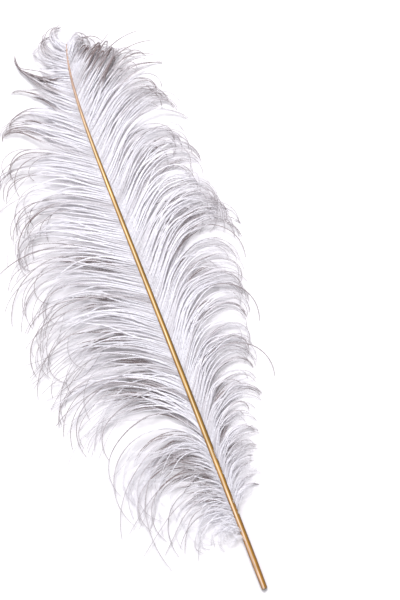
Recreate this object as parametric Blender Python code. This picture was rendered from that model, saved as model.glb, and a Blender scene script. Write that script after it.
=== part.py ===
"""A single ostrich wing plume, lying on a surface with its outer face up.

Units are metres and +Z is up. The shaft runs along +Y, from the cut end of its
quill to its tip. Seen from above, the wide vane is on the left (-X) and the narrow
vane on the right (+X). A plume grows as one piece, so the shaft and the locks of
barbs are joined in one solid. The locks droop until their tips meet the surface.
"""
import math

import bmesh
import bpy
import numpy as np
from mathutils import Vector

# Shaft
SHAFT_LENGTH = 0.600    # straight distance from the quill's end to the tip
SHAFT_BOW = 0.0137      # how strongly the shaft bows towards the wide vane
SHAFT_RISE = 0.010      # height of its arch over the surface
SHAFT_RADII = (         # (place along the shaft from 0 to 1, radius)
    (0.00, 0.0032), (0.05, 0.0034), (0.17, 0.0031), (0.40, 0.0029), (0.60, 0.0026),
    (0.75, 0.0023), (0.85, 0.0018), (0.93, 0.0013), (1.00, 0.0007))
QUILL_END_RADIUS = 0.0023   # the quill's blunt end is rounded off to this
QUILL_END_LENGTH = 0.0014
SHAFT_SIDES = 10
SHAFT_SECTIONS = 30

# Vanes, as profiles along the shaft: (place from 0 to 1, value). Angles are in degrees
# from the tip's direction, in plan.
WIDE_VANE = {
    "side": 1.0,
    "locks": 31,
    "first": 0.105,
    "last": 0.988,
    "seed": 21,
    "length": ((0.10, 0.045), (0.13, 0.080), (0.17, 0.118), (0.22, 0.150), (0.40, 0.166),
               (0.50, 0.162), (0.60, 0.148), (0.66, 0.134), (0.76, 0.124), (0.81, 0.105),
               (0.84, 0.094), (0.88, 0.068), (0.92, 0.066), (0.95, 0.048), (1.00, 0.026)),
    "leaves_at": ((0.10, 20.0), (0.20, 27.0), (0.35, 40.0), (0.50, 52.0), (0.65, 57.0),
                  (0.85, 55.0), (0.93, 58.0), (0.97, 60.0), (1.00, 45.0)),
    "ends_at": ((0.10, 150.0), (0.20, 170.0), (0.35, 170.0), (0.50, 165.0), (0.81, 172.0),
                (0.85, 150.0), (0.88, 90.0), (0.94, 100.0), (0.95, -60.0), (1.00, -100.0)),
    "bends_forward": ((0.0, 0.0), (1.0, 0.0)),
    "droops_late": ((0.0, 0.9), (0.25, 1.1), (0.35, 1.4), (0.50, 1.9), (0.60, 2.4),
                    (0.66, 3.2), (0.76, 3.8), (0.80, 6.0), (0.88, 6.0), (0.94, 3.0),
                    (0.95, 4.0), (1.0, 3.0)),
    # stretches of the shaft whose locks gather, with values at their lower and upper ends
    "gathered": (
        {"from": 0.893, "to": 0.943, "length": (0.081, 0.070), "leaves_at": (49.0, 74.0),
         "ends_at": (-12.0, -26.0), "droops_late": (3.2, 3.2)},
        {"from": 0.864, "to": 0.893, "length": (0.074, 0.068), "leaves_at": (50.0, 52.0),
         "ends_at": (130.0, 115.0), "droops_late": (9.0, 9.0)},
        {"from": 0.832, "to": 0.862, "length": (0.094, 0.086), "leaves_at": (49.0, 50.0),
         "ends_at": (160.0, 150.0), "droops_late": (3.0, 3.0)},
        {"from": 0.788, "to": 0.830, "length": (0.108, 0.101), "leaves_at": (51.0, 51.0),
         "ends_at": (185.0, 175.0), "droops_late": (8.0, 8.0)},
        {"from": 0.738, "to": 0.778, "length": (0.126, 0.122), "leaves_at": (55.0, 55.0),
         "ends_at": (168.0, 165.0), "droops_late": (3.8, 3.8)},
        {"from": 0.672, "to": 0.706, "length": (0.145, 0.140), "leaves_at": (57.0, 57.0),
         "ends_at": (180.0, 176.0), "droops_late": (3.2, 3.2)},
        {"from": 0.642, "to": 0.670, "length": (0.138, 0.134), "leaves_at": (57.0, 57.0),
         "ends_at": (190.0, 186.0), "droops_late": (3.4, 3.4)},
    ),
}
NARROW_VANE = {
    "side": -1.0,
    "locks": 29,
    "first": 0.150,
    "last": 0.984,
    "seed": 34,
    "length": ((0.14, 0.034), (0.20, 0.070), (0.30, 0.108), (0.43, 0.142), (0.55, 0.150),
               (0.66, 0.138), (0.75, 0.124), (0.85, 0.105), (0.87, 0.093), (0.90, 0.075),
               (0.93, 0.053), (0.96, 0.034), (1.00, 0.022)),
    "leaves_at": ((0.10, 20.0), (0.20, 26.0), (0.35, 37.0), (0.50, 46.0), (0.65, 50.0),
                  (0.85, 52.0), (0.90, 46.0), (0.96, 34.0), (1.00, 12.0)),
    "ends_at": ((0.14, 125.0), (0.25, 150.0), (0.40, 172.0), (0.60, 176.0), (0.72, 165.0),
                (0.85, 165.0), (0.89, 145.0), (0.95, 150.0), (1.00, 190.0)),
    "bends_forward": ((0.14, 0.0), (0.30, 4.0), (0.45, 12.0), (0.75, 10.0), (0.86, 0.0),
                      (1.00, 0.0)),
    "droops_late": ((0.0, 1.6), (0.3, 1.8), (0.72, 2.2), (0.84, 3.5), (0.88, 10.0),
                    (0.95, 8.0), (1.0, 2.2)),
    "gathered": (),
}

# One lock
LOCK_THICKNESS = 0.0018
LOCK_TIP_WIDTH = 0.0012
LOCK_TIP_THICKNESS = 0.0007
LOCK_OVERLAP = 0.60     # half width over the distance to the next lock
CLOSEST_LOCKS = 0.40    # distance between the shortest locks over the widest one
SQUARE_AFTER = 0.28     # share of its length where a lock's section stands square to it,
SQUARE_GAPS = 1.7       # and the least distance for that, in distances between locks
LOCK_NARROWS_AT = 0.42  # share of its length after which a lock narrows
LOCK_LIFT = 0.0040      # how far it arches up on its way out
LOCK_BANK = 9.0         # degrees that its front edge is raised, like a roof tile
LOCK_SECTIONS = 10
ROOT_INSET = 0.5        # how far a root reaches past the shaft's middle, in radii
PATH_STEPS = 90

VANE_COLOUR = (0.86, 0.85, 0.88, 1.0)
SHAFT_COLOUR = (0.70, 0.45, 0.20, 1.0)


def profile(pairs, place):
    """Value at a place along the shaft, between the pairs given."""
    places, values = zip(*pairs)
    return float(np.interp(place, places, values))


def turned(direction, degrees):
    """A direction in plan, turned anticlockwise as seen from above."""
    angle = math.radians(degrees)
    return Vector((direction.x * math.cos(angle) - direction.y * math.sin(angle),
                   direction.x * math.sin(angle) + direction.y * math.cos(angle),
                   0.0))


def shaft_point(place):
    """Centre of the shaft at a place from 0, the quill's end, to 1, the tip."""
    bow = -SHAFT_BOW * place ** 1.25 * (1.0 - place ** 14)
    arch = SHAFT_RISE * math.sin(math.pi * 0.93 * place)
    return Vector((bow, SHAFT_LENGTH * place, arch + profile(SHAFT_RADII, place)))


def shaft_direction(place):
    """Unit direction of the shaft in plan, towards the tip."""
    step = 0.004
    ahead = shaft_point(min(1.0, place + step))
    behind = shaft_point(max(0.0, place - step))
    along = ahead - behind
    along.z = 0.0
    return along.normalized()


def shaft_sections():
    """Rings of points around the shaft, from its blunt end to the tip."""
    places = [0.0] + list(np.linspace(QUILL_END_LENGTH / SHAFT_LENGTH, 1.0,
                                      SHAFT_SECTIONS - 1))
    rings = []
    for place in places:
        centre = shaft_point(place)
        across = turned(shaft_direction(place), -90.0)
        radius = profile(SHAFT_RADII, place) if place > 0.0 else QUILL_END_RADIUS
        ring = []
        for corner in range(SHAFT_SIDES):
            angle = 2.0 * math.pi * corner / SHAFT_SIDES
            ring.append(centre + across * radius * math.cos(angle)
                        + Vector((0.0, 0.0, radius * math.sin(angle))))
        rings.append(ring)
    return rings


def lock_places(vane):
    """Where the locks of a vane grow: short locks stand closer than long ones."""
    fine = np.linspace(vane["first"], vane["last"], 500)
    lengths = np.array([profile(vane["length"], place) for place in fine])
    filled = np.cumsum(1.0 / (CLOSEST_LOCKS + (1.0 - CLOSEST_LOCKS) * lengths / max(lengths)))
    filled = (filled - filled[0]) / (filled[-1] - filled[0])
    return np.interp(np.linspace(0.0, 1.0, vane["locks"]), filled, fine)


def lock_list(vane):
    """Every lock of a vane, with the small differences that grown locks have."""
    varied = np.random.default_rng(vane["seed"])
    count = vane["locks"]
    places = lock_places(vane)
    gaps = np.gradient(places)
    locks = []
    for index in range(count):
        draw = varied.uniform(-1.0, 1.0, 6)
        place = float(places[index] + 0.18 * gaps[index] * draw[0])
        lock = {
            "side": vane["side"],
            "place": place,
            "gap": float(gaps[index]) * SHAFT_LENGTH,
            "leaves_at": profile(vane["leaves_at"], place) + 2.0 * draw[1],
            "ends_at": profile(vane["ends_at"], place) + 15.0 * draw[2],
            "length": profile(vane["length"], place) * (1.0 + 0.06 * draw[3]),
            "bends_forward": profile(vane["bends_forward"], place),
            "droops_late": profile(vane["droops_late"], place) * (1.0 + 0.18 * draw[4]),
            "lift": LOCK_LIFT * (1.0 + 0.6 * draw[5]),
        }
        for stretch in vane["gathered"]:
            gather(lock, stretch)
        locks.append(lock)
    return locks


def gather(lock, stretch):
    """Give a lock that grows from a gathered stretch the line of its neighbours."""
    upwards = (lock["place"] - stretch["from"]) / (stretch["to"] - stretch["from"])
    if 0.0 < upwards < 1.0:
        for key in ("length", "leaves_at", "ends_at", "droops_late"):
            lower, upper = stretch[key]
            lock[key] = lower + (upper - lower) * upwards


def eased(value):
    """0 to 1 with a soft start and end."""
    value = min(1.0, max(0.0, value))
    return value * value * (3.0 - 2.0 * value)


def lock_angle(lock, share):
    """Angle from the shaft's direction at a share of the lock's length."""
    turn = lock["ends_at"] - lock["leaves_at"]
    forward = lock["bends_forward"] * math.sin(math.pi * min(1.0, share / 0.6))
    return lock["leaves_at"] - forward + turn * share ** lock["droops_late"]


def lock_path(lock):
    """The lock's middle line, as a function of the share of its length."""
    forward = shaft_direction(lock["place"])
    outward = turned(forward, lock["side"] * 90.0)
    inset = ROOT_INSET * profile(SHAFT_RADII, lock["place"])
    root = shaft_point(lock["place"]) - outward * inset
    step = 1.0 / PATH_STEPS
    points = [root.copy()]
    for index in range(PATH_STEPS):
        angle = lock_angle(lock, (index + 0.5) * step)
        way = turned(forward, lock["side"] * angle)
        points.append(points[-1] + way * lock["length"] * step)
    for index, point in enumerate(points):
        share = index * step
        sunk = share ** 1.5
        point.z = (root.z * (1.0 - sunk) + lock["lift"] * math.sin(math.pi * share)
                   + 0.5 * LOCK_TIP_THICKNESS * sunk)

    def at(share):
        place = min(share * PATH_STEPS, PATH_STEPS - 1e-6)
        low = int(place)
        return points[low].lerp(points[low + 1], place - low)

    return at


def lock_sections(lock):
    """Diamond sections of a lock, from the middle of the shaft to its tip."""
    at = lock_path(lock)
    forward = shaft_direction(lock["place"])
    shaft_radius = profile(SHAFT_RADII, lock["place"])
    rings = []
    for index in range(LOCK_SECTIONS):
        share = index / (LOCK_SECTIONS - 1)
        angle = lock_angle(lock, share)
        freed = eased(share * lock["length"] / max(SQUARE_AFTER * lock["length"],
                                                   SQUARE_GAPS * lock["gap"]))
        across = turned(forward, lock["side"] * (angle - 90.0) * freed)
        skew = math.radians((angle - 90.0) * (1.0 - freed))
        narrowing = max(0.0, share - LOCK_NARROWS_AT) / (1.0 - LOCK_NARROWS_AT)
        half = lock["gap"] * LOCK_OVERLAP * max(0.4, math.sin(math.radians(angle)))
        half = half * (1.0 - narrowing ** 1.5) / math.cos(skew)
        half = max(half, 0.5 * LOCK_TIP_WIDTH)
        thick_here = min(LOCK_THICKNESS, 1.3 * shaft_radius)
        thick = thick_here + (LOCK_THICKNESS - thick_here) * freed
        thick = thick + (LOCK_TIP_THICKNESS - thick) * narrowing
        bank = math.radians(LOCK_BANK) * (0.25 + 0.75 * freed) * (1.0 - 0.6 * narrowing)
        wide = (across * math.cos(bank) + Vector((0.0, 0.0, math.sin(bank)))) * half
        deep = (Vector((0.0, 0.0, math.cos(bank))) - across * math.sin(bank)) * thick / 2.0
        centre = at(share)
        rings.append([centre + wide, centre + deep, centre - wide, centre - deep])
    settle_on_surface(rings)
    return rings


def settle_on_surface(rings):
    """Bend a lock up or down until its lowest point just meets the surface."""
    last = len(rings) - 1
    for _ in range(3):
        lowest, where = min((min(p.z for p in ring), i) for i, ring in enumerate(rings))
        where = max(where, last // 2)
        for index, ring in enumerate(rings):
            weight = min(1.0, index / where) ** 1.5
            for point in ring:
                point.z -= lowest * weight


def loft(bm, rings):
    """A closed body through rings of points, grown by extruding its end face."""
    root = bm.faces.new([bm.verts.new(point) for point in rings[0]])
    end = root
    here = rings[0]
    for ring in rings[1:]:
        grown = bmesh.ops.extrude_face_region(bm, geom=[end])["geom"]
        if end is not root:
            bmesh.ops.delete(bm, geom=[end], context='FACES_ONLY')
        end = next(item for item in grown if isinstance(item, bmesh.types.BMFace))
        for vertex in end.verts:
            nearest = min(range(len(here)), key=lambda i: (here[i] - vertex.co).length)
            vertex.co = ring[nearest]
        here = ring


def mesh_of(name, bodies, material):
    """A mesh object holding one closed body for each list of rings."""
    bm = bmesh.new()
    for rings in bodies:
        loft(bm, rings)
    bmesh.ops.triangulate(bm, faces=bm.faces[:])
    bmesh.ops.recalc_face_normals(bm, faces=bm.faces[:])
    mesh = bpy.data.meshes.new(name)
    bm.to_mesh(mesh)
    bm.free()
    mesh.shade_smooth()
    mesh.set_sharp_from_angle(angle=math.radians(40.0))
    mesh.materials.append(material)
    piece = bpy.data.objects.new(name, mesh)
    bpy.context.scene.collection.objects.link(piece)
    return piece


def finish(name, colour, roughness):
    """A plain material for one kind of surface."""
    material = bpy.data.materials.new(name)
    material.use_nodes = True
    shader = material.node_tree.nodes["Principled BSDF"]
    shader.inputs["Base Color"].default_value = colour
    shader.inputs["Roughness"].default_value = roughness
    shader.inputs["Metallic"].default_value = 0.0
    return material


def clear_scene():
    for item in list(bpy.data.objects):
        bpy.data.objects.remove(item, do_unlink=True)


def centre_on_origin(bodies):
    """Put the middle of the plume's box over the origin, with its base at zero."""
    points = [point for rings in bodies for ring in rings for point in ring]
    low = Vector([min(point[axis] for point in points) for axis in range(3)])
    high = Vector([max(point[axis] for point in points) for axis in range(3)])
    shift = Vector((-(low.x + high.x) / 2.0, -(low.y + high.y) / 2.0, -low.z))
    for point in points:
        point += shift


def build_plume():
    shaft = [shaft_sections()]
    locks = [lock_sections(lock) for vane in (WIDE_VANE, NARROW_VANE)
             for lock in lock_list(vane)]
    centre_on_origin(shaft + locks)

    plume = mesh_of("feather", locks, finish("vane", VANE_COLOUR, 0.60))
    core = mesh_of("shaft_form", shaft, finish("horn", SHAFT_COLOUR, 0.30))
    core.hide_render = True
    core.display_type = 'WIRE'
    join = plume.modifiers.new("join locks and shaft", 'BOOLEAN')
    join.operation = 'UNION'
    join.solver = 'EXACT'
    join.use_self = True
    join.material_mode = 'TRANSFER'
    join.object = core


clear_scene()
build_plume()
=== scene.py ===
import math

import bmesh
import bpy
import numpy as np
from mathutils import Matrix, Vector


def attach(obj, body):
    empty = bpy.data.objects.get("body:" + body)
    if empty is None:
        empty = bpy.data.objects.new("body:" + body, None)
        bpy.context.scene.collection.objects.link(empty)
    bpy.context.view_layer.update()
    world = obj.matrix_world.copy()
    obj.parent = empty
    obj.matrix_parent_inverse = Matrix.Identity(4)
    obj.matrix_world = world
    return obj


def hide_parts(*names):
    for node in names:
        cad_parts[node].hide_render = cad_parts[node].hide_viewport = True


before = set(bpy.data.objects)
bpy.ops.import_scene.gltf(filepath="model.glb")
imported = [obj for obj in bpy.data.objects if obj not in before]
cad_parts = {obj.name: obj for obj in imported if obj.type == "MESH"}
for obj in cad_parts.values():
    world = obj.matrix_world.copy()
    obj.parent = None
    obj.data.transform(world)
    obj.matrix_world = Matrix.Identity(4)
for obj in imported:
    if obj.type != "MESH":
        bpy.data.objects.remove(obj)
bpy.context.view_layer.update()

# The plume's shaft runs along +Y, and the quill's end is the lowest end of its solid in Y.
plumePoints = np.array([vertex.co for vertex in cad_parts["feather"].data.vertices])
lowestY = plumePoints[:, 1].min()
plumeOrigin = Vector((plumePoints[plumePoints[:, 1] < lowestY + 0.0002, 0].mean(), lowestY, 0.0))


# The shaft's line, which everything grows on. Profiles are pairs of a place and a value there,
# and a place is 0 at the quill's end and 1 at the tip.
shaftLine = {
    "length": 0.600,   # straight distance from the quill's end to the tip
    "bow": 0.0137,     # sideways, towards the wide vane
    "bowGrows": 1.25,  # with this power of the place
    "bowEnds": 14,     # and is lost at the tip with this one
    "rootDrop": 0.4,   # of the barbs' roots below its middle, as a share of its radius
    "rise": 0.010,     # of its middle above the surface it lies on
    "arch": 0.93,      # share of half a wave that the rise follows
    "radii": ((0.00, 0.0032), (0.05, 0.0034), (0.17, 0.0031), (0.40, 0.0029), (0.60, 0.0026),
              (0.75, 0.0023), (0.85, 0.0018), (0.93, 0.0013), (1.00, 0.0007)),
}


def along(pairs, place):
    places, values = zip(*pairs)
    return np.interp(place, places, values)


def eased(value):
    value = np.clip(value, 0.0, 1.0)
    return value * value * (3.0 - 2.0 * value)


def shaftPoints(place):
    place = np.asarray(place, float)
    points = np.empty(place.shape + (3,))
    bow = shaftLine["bow"] * place ** shaftLine["bowGrows"] * (1.0 - place ** shaftLine["bowEnds"])
    points[..., 0] = -bow + plumeOrigin.x
    points[..., 1] = shaftLine["length"] * place + plumeOrigin.y
    points[..., 2] = (shaftLine["rise"] * np.sin(math.pi * shaftLine["arch"] * place)
                      + along(shaftLine["radii"], place))
    return points


def shaftHeadings(place):
    place = np.asarray(place, float)
    step = 0.004
    way = shaftPoints(np.minimum(1.0, place + step)) - shaftPoints(np.maximum(0.0, place - step))
    return np.arctan2(way[..., 1], way[..., 0])


# Where barbs gather in one point: from and to which place of the shaft, values at these two ends,
# how close to the lock's line they come and after which share of their length, and the share of
# the length that a strand loses at most.
gatheredBy = ("from", "to", "length", "leavesAt", "endsAt", "droopsLate", "cling", "clingsFrom",
              "tapers")

# The two vanes. Angles are in degrees from the shaft's direction, in plan.
wideVane = {
    "side": 1.0,
    "locks": 31,
    "first": 0.105,
    "last": 0.988,
    "seed": 21,
    "length": ((0.10, 0.048), (0.13, 0.088), (0.17, 0.130), (0.22, 0.160), (0.40, 0.166),
               (0.50, 0.162), (0.60, 0.148), (0.66, 0.134), (0.76, 0.124), (0.81, 0.105),
               (0.84, 0.094), (0.88, 0.068), (0.92, 0.066), (0.95, 0.048), (1.00, 0.026)),
    "leavesAt": ((0.10, 10), (0.20, 9), (0.26, 11), (0.35, 38), (0.50, 52), (0.65, 57),
                 (0.85, 55), (0.93, 58), (0.97, 60), (1.00, 45)),
    "endsAt": ((0.10, 155), (0.20, 186), (0.35, 130), (0.50, 165), (0.81, 172),
               (0.85, 150), (0.88, 90), (0.94, 100), (0.95, -60), (1.00, -100)),
    "bendsForward": ((0.0, 0),),
    "droopsLate": ((0.0, 0.9), (0.25, 1.1), (0.35, 1.4), (0.50, 1.9), (0.60, 2.4), (0.66, 3.2),
                   (0.76, 3.8), (0.80, 6.0), (0.88, 6.0), (0.94, 3.0), (0.95, 4.0), (1.0, 3.0)),
    "gathered": [dict(zip(gatheredBy, row)) for row in (
        (0.893, 0.943, (0.086, 0.075), (49, 74), (-12, -26), (3.2, 3.2), 0.95, 0.52, 0.30),
        (0.864, 0.893, (0.080, 0.074), (50, 52), (130, 115), (9.0, 9.0), 0.90, 0.45, 0.35),
        (0.832, 0.862, (0.101, 0.092), (49, 50), (160, 150), (3.0, 3.0), 0.85, 0.50, 0.25),
        (0.788, 0.830, (0.122, 0.114), (51, 51), (235, 225), (6.5, 6.5), 0.92, 0.45, 0.22),
        (0.738, 0.778, (0.126, 0.122), (55, 55), (168, 165), (3.8, 3.8), 0.60, 0.45, 0.20),
        (0.672, 0.706, (0.145, 0.140), (57, 57), (180, 176), (3.2, 3.2), 0.70, 0.42, 0.20),
        (0.642, 0.670, (0.138, 0.134), (57, 57), (190, 186), (3.4, 3.4), 0.65, 0.42, 0.20),
        (0.304, 0.365, (0.172, 0.174), (28, 38), (122, 126), (1.1, 1.1), 0.25, 0.50, 0.20),
        (0.262, 0.302, (0.160, 0.168), (4, 20), (156, 138), (1.0, 1.1), 0.45, 0.40, 0.20),
        (0.210, 0.260, (0.150, 0.168), (9, 13), (192, 202), (1.0, 1.0), 0.20, 0.44, 0.40),
    )],
    "widest": 0.148,
    "hook": (6.0, 20.0),  # extra bend of the tips, mean and spread
    "own": 0.25,          # of a lock's strands, share of its own shape
    "clingsLeast": ((0.62, 0.0), (0.76, 0.20), (0.90, 0.60)),  # of strands to a lock
    "clingsMost": ((0.62, 0.40), (0.76, 0.60), (0.90, 0.80)),
    "pocket": ((0.10, 0.0012), (0.40, 0.0010), (0.60, 0.0008), (1.00, 0.0006)),  # between locks
    # larger ones: place, share of the barbs' length there, half of its length, height, and
    # the distance to each side over which barbs give way
    "pockets": ((0.615, 0.78, 0.18, 0.0050, 0.018), (0.585, 0.36, 0.11, 0.0034, 0.010),
                (0.510, 0.38, 0.09, 0.0026, 0.010), (0.440, 0.44, 0.10, 0.0034, 0.010),
                (0.390, 0.34, 0.07, 0.0020, 0.010), (0.345, 0.30, 0.08, 0.0028, 0.010),
                (0.303, 0.46, 0.15, 0.0056, 0.010), (0.261, 0.56, 0.20, 0.0076, 0.022),
                (0.200, 0.38, 0.12, 0.0074, 0.010), (0.180, 0.55, 0.10, 0.0040, 0.008),
                (0.172, 0.27, 0.06, 0.0026, 0.006), (0.141, 0.38, 0.12, 0.0034, 0.008)),
    "spreads": ((0.27, 2.3), (0.32, 1.0), (0.93, 1.0), (0.95, 0.35)),  # of ends and waves
    "fullness": ((0.27, 0.60), (0.33, 1.0)),  # of the barbules' reach
    "holdsLeast": ((0.27, 0.90), (0.33, 0.10), (0.80, 0.10), (1.00, 0.30)),  # to a strand
    # tone added to the barbs below
    "paler": ((0.10, 0.62), (0.25, 0.54), (0.50, 0.58), (0.75, 0.60), (0.85, 0.75)),
}
narrowVane = {
    "side": -1.0,
    "locks": 29,
    "first": 0.150,
    "last": 0.984,
    "seed": 37,
    "length": ((0.14, 0.034), (0.20, 0.070), (0.30, 0.108), (0.43, 0.142), (0.55, 0.150),
               (0.66, 0.138), (0.75, 0.124), (0.85, 0.105), (0.87, 0.093), (0.90, 0.075),
               (0.93, 0.053), (0.96, 0.034), (1.00, 0.022)),
    "leavesAt": ((0.10, 20), (0.20, 26), (0.35, 37), (0.50, 46), (0.65, 50),
                 (0.85, 52), (0.90, 46), (0.96, 34), (1.00, 12)),
    "endsAt": ((0.14, 125), (0.25, 158), (0.40, 188), (0.60, 194), (0.72, 180),
               (0.85, 165), (0.89, 145), (0.95, 150), (1.00, 190)),
    "bendsForward": ((0.14, 0), (0.30, 4), (0.45, 12), (0.75, 10), (0.86, 0), (1.00, 0)),
    "droopsLate": ((0.0, 1.6), (0.3, 2.3), (0.72, 2.8), (0.84, 3.8), (0.88, 10.0), (0.95, 8.0),
                   (1.0, 2.2)),
    "gathered": (),
    "widest": 0.112,
    "hook": (10.0, 18.0),
    "own": 0.30,
    "clingsLeast": ((0.0, 0.0),),
    "clingsMost": ((0.0, 0.40),),
    "pocket": ((0.14, 0.0008), (1.00, 0.0006)),
    "pockets": ((0.695, 0.60, 0.09, 0.0030, 0.010), (0.635, 0.62, 0.09, 0.0034, 0.010),
                (0.560, 0.60, 0.10, 0.0038, 0.010), (0.520, 0.54, 0.08, 0.0026, 0.008),
                (0.470, 0.60, 0.10, 0.0034, 0.010), (0.410, 0.58, 0.10, 0.0034, 0.010),
                (0.350, 0.54, 0.10, 0.0030, 0.010), (0.290, 0.50, 0.10, 0.0028, 0.010),
                (0.230, 0.42, 0.10, 0.0024, 0.010)),
    "spreads": ((0.0, 1.0),),
    "fullness": ((0.0, 1.0),),
    "holdsLeast": ((0.0, 0.0),),
    "paler": ((0.10, 0.60), (0.30, 0.52), (0.60, 0.36), (0.78, 0.44), (0.90, 0.55), (1.00, 0.60)),
}
# The locks. Each one differs by chance from its vane's profiles, by these shares or degrees.
lockForm = {
    "lift": 0.0040,
    "closest": 0.40,      # of the shortest ones, as a share of the widest distance
    "placeVaries": 0.18,  # of the distance to the next one
    "leavesVaries": 2.0,
    "endsVaries": 15.0,
    "lengthVaries": 0.06,
    "lateVaries": 0.18,
    "liftVaries": 0.6,
}


def lockPlaces(vane):
    fine = np.linspace(vane["first"], vane["last"], 500)
    lengths = along(vane["length"], fine)
    closest = lockForm["closest"]
    filled = np.cumsum(1.0 / (closest + (1.0 - closest) * lengths / lengths.max()))
    filled = (filled - filled[0]) / (filled[-1] - filled[0])
    return np.interp(np.linspace(0.0, 1.0, vane["locks"]), filled, fine)


def lockTable(vane):
    varied = np.random.default_rng(vane["seed"])
    places = lockPlaces(vane)
    gaps = np.gradient(places)
    form = lockForm
    draw = varied.uniform(-1.0, 1.0, (vane["locks"], 6))
    place = places + form["placeVaries"] * gaps * draw[:, 0]
    locks = {
        "place": place,
        "leavesAt": along(vane["leavesAt"], place) + form["leavesVaries"] * draw[:, 1],
        "endsAt": along(vane["endsAt"], place) + form["endsVaries"] * draw[:, 2],
        "length": along(vane["length"], place) * (1.0 + form["lengthVaries"] * draw[:, 3]),
        "bendsForward": along(vane["bendsForward"], place),
        "droopsLate": along(vane["droopsLate"], place) * (1.0 + form["lateVaries"] * draw[:, 4]),
        "lift": form["lift"] * (1.0 + form["liftVaries"] * draw[:, 5]),
    }
    for gathered in vane["gathered"]:
        gather(locks, gathered)
    return locks


# Barbs of a gathered lock fan out from the shaft and meet near its point.
def gather(table, gathered):
    upwards = (table["place"] - gathered["from"]) / (gathered["to"] - gathered["from"])
    inside = (upwards > 0.0) & (upwards < 1.0)
    for key in ("length", "leavesAt", "endsAt", "droopsLate"):
        lower, upper = gathered[key]
        table[key] = np.where(inside, lower + (upper - lower) * upwards, table[key])
    return inside


# Barbs. Each follows a line of stations from the shaft to its tip.
stations = 30
share = np.linspace(0.0, 1.0, stations + 1)
midShare = (share[1:] + share[:-1]) / 2.0

topBarbs = {
    "spacing": ((0.10, 0.0028), (0.22, 0.0029), (0.30, 0.0025), (0.80, 0.0024), (0.90, 0.0019),
                (0.94, 0.0024), (0.955, 0.0040), (1.00, 0.0042)),
    "jitter": 0.10,
    "reaches": 1.0,        # share of the vane's own length
    "strand": (1, 4),      # barbs in a strand, below the second number
    "hold": (0.00, 0.60),  # of a barb to its strand
    "holdFrom": 0.36,
    "clings": 1.0,         # share of the vane's own cling and pockets
    "endSpread": 18.0,
    "ownSpread": 18.0,
    "lateSpread": 0.28,
    "wave": 17.0,
    "stray": 0.12,
    "lift": (0.0000, 0.0045),
    "shingle": 0.0008,
    "tipHeight": (0.0008, 0.0055),
    "stem": ((0.0, 0.00028), (0.5, 0.00030), (1.0, 0.00020)),  # radius
    # how far barbules reach sideways, and how long they are
    "reach": ((0.00, 0.0009), (0.15, 0.00084), (0.40, 0.00078), (0.60, 0.00056),
              (0.85, 0.00040), (1.00, 0.00026)),
    "barbule": ((0.0, 0.0022), (0.2, 0.0030), (0.6, 0.0026), (1.0, 0.0014)),
    "barbuleWidth": 0.00038,
    "barbules": 520,       # a side, on a barb 160 mm long
    # tone along the barb: greyer at the root as painted shade of the shaft beside it, and darker
    # towards the tips
    "tone": ((0.0, 0.78), (0.08, 0.86), (0.16, 0.91), (0.42, 0.91), (0.55, 0.80), (0.68, 0.57),
             (0.8, 0.37), (1.0, 0.15)),
    "toneSpread": 0.15,
}
# The narrow vane is smooth beside the shaft and parts into thicker strands.
smoothBarbs = dict(topBarbs)
smoothBarbs.update({
    "spacing": ((0.10, 0.0020), (0.80, 0.0019), (0.90, 0.0017), (0.94, 0.0020), (0.955, 0.0034),
                (1.00, 0.0036)),
    "strand": (1, 5),
    "hold": (0.35, 0.95),
    "ownSpread": 10.0,
    "wave": 10.0,
    "stray": 0.07,
    "endSpread": 12.0,
    "lateSpread": 0.16,
    "reach": ((0.00, 0.0009), (0.12, 0.0009), (0.25, 0.00076), (0.60, 0.00062),
              (0.85, 0.00048), (1.00, 0.00024)),
    "barbules": 430,
    "tone": ((0.0, 0.92), (0.20, 0.95), (0.55, 0.97), (0.70, 0.82), (0.85, 0.55), (1.0, 0.25)),
    "toneSpread": 0.13,
})
# Barbs of a lower layer: their dark tone is partly their own taupe and partly painted shade of
# lying beneath the top barbs.
underBarbs = {
    "spacing": ((0.10, 0.0017), (0.24, 0.0019), (0.30, 0.0022), (0.80, 0.0022), (1.00, 0.0018)),
    "jitter": 0.30,
    "reaches": 0.66,
    "strand": (1, 3),
    "hold": (0.0, 0.6),
    "clings": 0.0,
    "own": 0.0,
    "lengthSpread": 0.20,
    "endSpread": 12.0,
    "ownSpread": 10.0,
    "wave": 9.0,
    "stray": 0.05,
    "lift": (-0.0050, -0.0025),
    "shingle": 0.0,
    "tipHeight": (0.0004, 0.0016),
    "stem": ((0.0, 0.00020), (0.5, 0.00014), (1.0, 0.00005)),
    "reach": ((0.00, 0.0012), (0.40, 0.0013), (0.65, 0.0009), (0.80, 0.0006), (1.00, 0.0003)),
    "barbule": ((0.0, 0.0022), (0.2, 0.0032), (0.6, 0.0028), (1.0, 0.0014)),
    "barbuleWidth": 0.00042,
    "barbules": 360,
    "tone": ((0.0, 0.72), (0.10, 0.54), (0.24, 0.26), (0.42, 0.15), (0.52, 0.38), (0.66, 0.64)),
    "toneSpread": 0.14,
    # how much painted shade the lower barbs get in the pockets between locks
    "shadeInPockets": 1.40,
}
# Those of the narrow vane reach further, so that its strands lie on a darker ground: painted shade
# of the depth beneath them.
deepBarbs = dict(underBarbs)
deepBarbs.update({
    "reaches": 0.78,
    "toneSpread": 0.20,
    "shadeInPockets": 0.80,
    "tone": ((0.0, 0.76), (0.10, 0.66), (0.24, 0.46), (0.42, 0.26), (0.60, 0.22), (0.78, 0.55)),
})
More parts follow.
